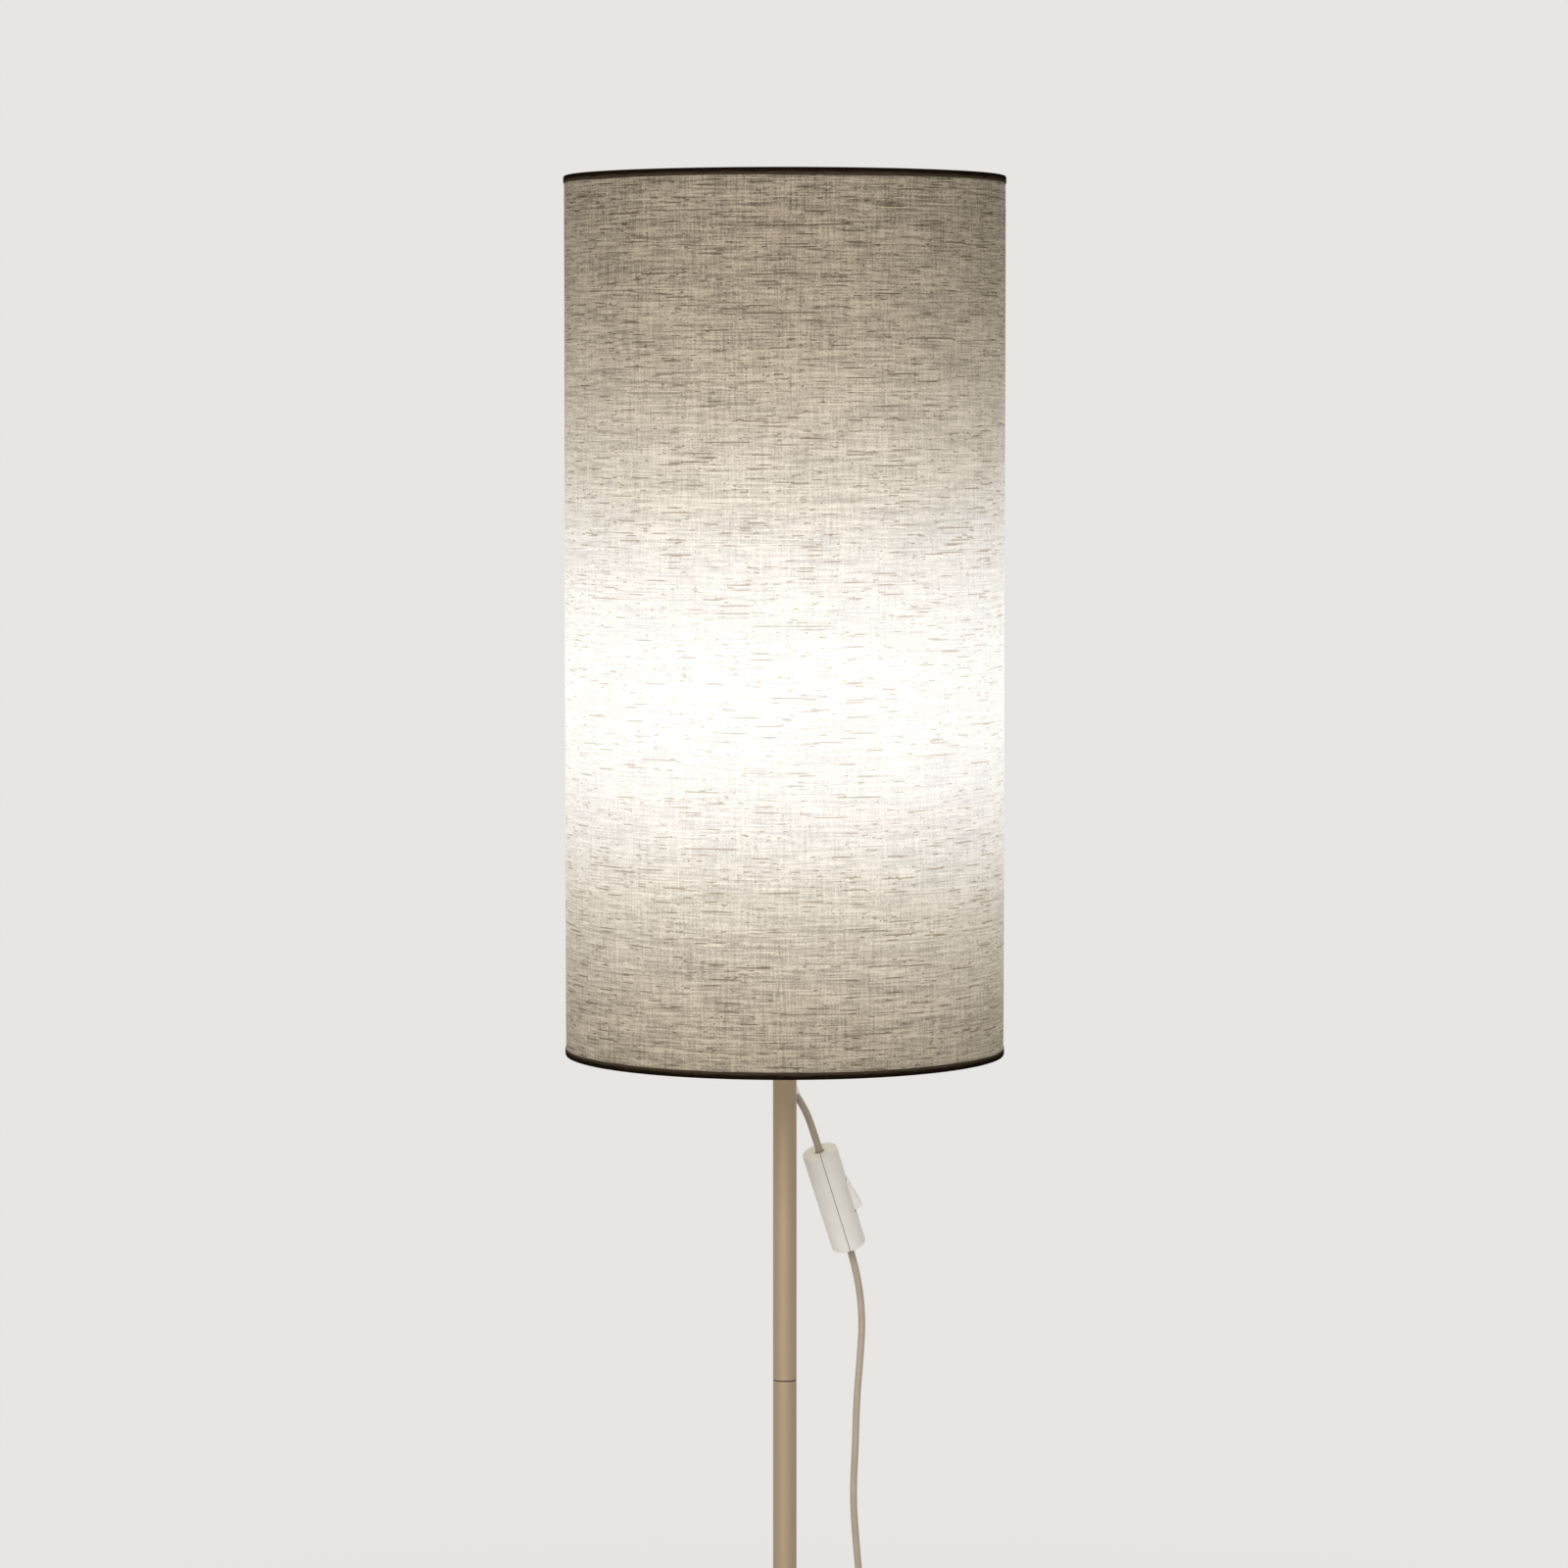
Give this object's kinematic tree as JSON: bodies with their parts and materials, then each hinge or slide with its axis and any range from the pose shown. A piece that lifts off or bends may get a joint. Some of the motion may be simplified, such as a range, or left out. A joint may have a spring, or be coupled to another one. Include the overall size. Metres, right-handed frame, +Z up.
{
  "type": "floor lamp",
  "caption": "Column floor lamp with a tall linen cylinder shade on a slim two-piece pole, a round weighted foot and an in-line rocker switch on its cord.",
  "frame": {"origin": "centre of the foot's underside, on the floor", "axes": "+Z up along the pole, -Y towards the side that the picture shows, +X towards the cord"},
  "size_m": [0.3513, 0.3841, 1.6],
  "materials": {
    "bronze": "satin champagne bronze",
    "steel": "zinc plated",
    "brass": "plain",
    "felt": "soft dark pad",
    "holder_plastic": "moulded white",
    "porcelain": "glazed",
    "solder": "dull",
    "black_glass": "gloss",
    "bulb_plastic": "matt white",
    "aluminium": "plain",
    "bulb_glass": "opal",
    "frame_wire": "white powder coat",
    "liner": "matt film",
    "linen": "slubbed linen weave",
    "hem": "dark brown tape",
    "white_bush": "smooth",
    "switch_plastic": "fine matt",
    "clamp_plastic": "plain",
    "cord": "smooth grey-beige sheath",
    "tie": "plain strap",
    "plug_plastic": "moulded grey-beige",
    "pin_metal": "nickelled"
  },
  "bodies": {
    "lamp": {"base_pads": "felt", "base_disc": "bronze", "base_washer": "steel", "base_nut": "steel", "foot_insert": "steel", "lower_tube": "bronze", "lower_joint_insert": "brass", "joint_stud": "steel", "upper_joint_insert": "brass", "upper_tube": "bronze", "top_insert": "bronze", "holder_locknut": "steel", "holder_nipple": "steel", "holder_cap": "holder_plastic", "holder_skirt": "holder_plastic", "holder_insert": "porcelain", "holder_centre_contact": "brass", "holder_shell_contact": "brass", "holder_terminal_screws": "steel", "bulb_tip": "solder", "bulb_insulator": "black_glass", "bulb_cap": "steel", "bulb_body": "bulb_plastic", "bulb_plate": "aluminium", "bulb_glass": "bulb_glass", "shade_ring_lower": "holder_plastic", "shade_ring_upper": "holder_plastic", "cord_bush": "white_bush", "switch_plain_half": "switch_plastic", "switch_rocker_half": "switch_plastic", "rocker_pin": "steel", "switch_line_terminal": "brass", "switch_load_terminal": "brass", "switch_terminal_screws": "steel", "cord_clamps": "clamp_plastic", "cord_clamp_screws": "steel", "switch_housing_screws": "steel", "cord_inside": "cord", "cord_to_switch": "cord", "cord_from_switch": "cord", "cord_coil": "cord", "cord_tie": "tie", "cord_tail": "cord", "plug_boot": "plug_plastic", "plug_body": "plug_plastic", "plug_pins": "pin_metal"},
    "shade": {"shade_fitter_plate": "frame_wire", "shade_bottom_ring": "frame_wire", "shade_top_ring": "frame_wire", "shade_arms": "frame_wire", "shade_liner": "liner", "shade_fabric": "linen", "shade_bottom_hem": "hem", "shade_top_hem": "hem", "shade_seam": "linen"},
    "rocker": {"rocker": "switch_plastic", "rocker_plunger": "steel"},
    "seesaw": {"seesaw_contact": "brass"}
  },
  "joints": [
    {"name": "shade_turn", "type": "hinge", "parent": "lamp", "child": "shade", "pos_m": [0, 0, 1.114], "axis": [0, 0, 1], "continuous": true},
    {"name": "rocker_tilt", "type": "hinge", "parent": "lamp", "child": "rocker", "pos_m": [0.05022, 0.04308, 0.78067], "axis": [-0.0849, 0.9555, 0.2824], "range_deg": [0, 23]},
    {"name": "seesaw_tilt", "type": "hinge", "parent": "lamp", "child": "seesaw", "pos_m": [0.04199, 0.04308, 0.7782], "axis": [-0.0849, 0.9555, 0.2824], "range_deg": [-12, 0]}
  ],
  "couplings": [
    {"joint": "seesaw_tilt", "follows": "rocker_tilt", "ratio": -0.52}
  ]
}
